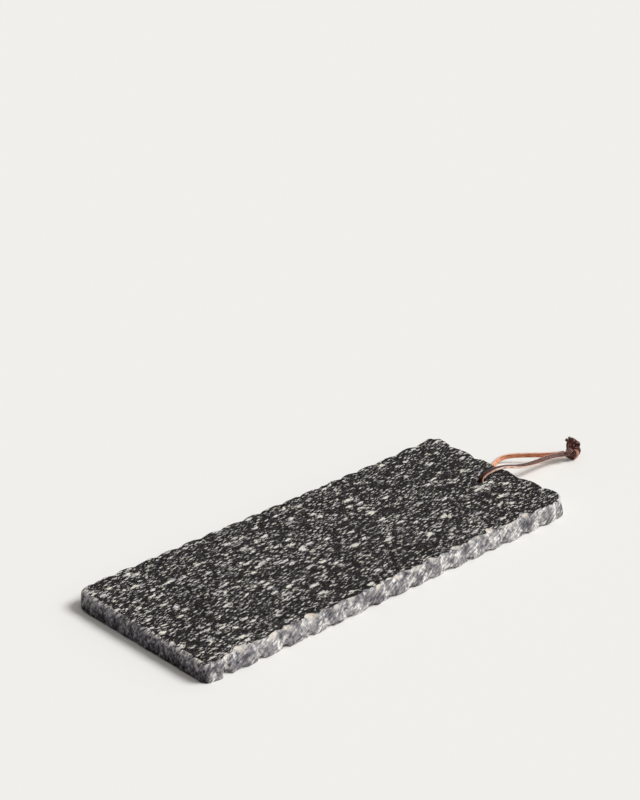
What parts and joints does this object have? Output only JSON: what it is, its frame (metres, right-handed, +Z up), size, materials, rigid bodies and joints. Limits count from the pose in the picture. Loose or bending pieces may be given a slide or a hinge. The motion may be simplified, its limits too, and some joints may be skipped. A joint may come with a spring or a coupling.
{
  "type": "serving board",
  "caption": "Flat rectangular granite serving board with chiselled edges and a leather hanging thong, looped through a hole near one end and tied in an overhand knot.",
  "frame": {"origin": "middle of the stone's underside, in the plane it lies on", "axes": "+Z up out of the serving face, +X along the length to the end with the hanging hole, +Y across the width"},
  "size_m": [0.4529, 0.153, 0.0197],
  "materials": {
    "granite": "satin",
    "thong_leather": "satin",
    "knot_leather": "satin"
  },
  "bodies": {
    "board": {"granite_slab": "granite", "thong_bight": "thong_leather"},
    "loop": {"upper_strand": "thong_leather", "lower_strand": "thong_leather", "overhand_knot": "knot_leather", "near_tail": "knot_leather", "far_tail": "knot_leather"}
  },
  "joints": [
    {"name": "loop_lift", "type": "hinge", "parent": "board", "child": "loop", "pos_m": [0.1845, -0.0055, 0.0174], "axis": [0, -1, 0], "range_deg": [0, 75]}
  ]
}
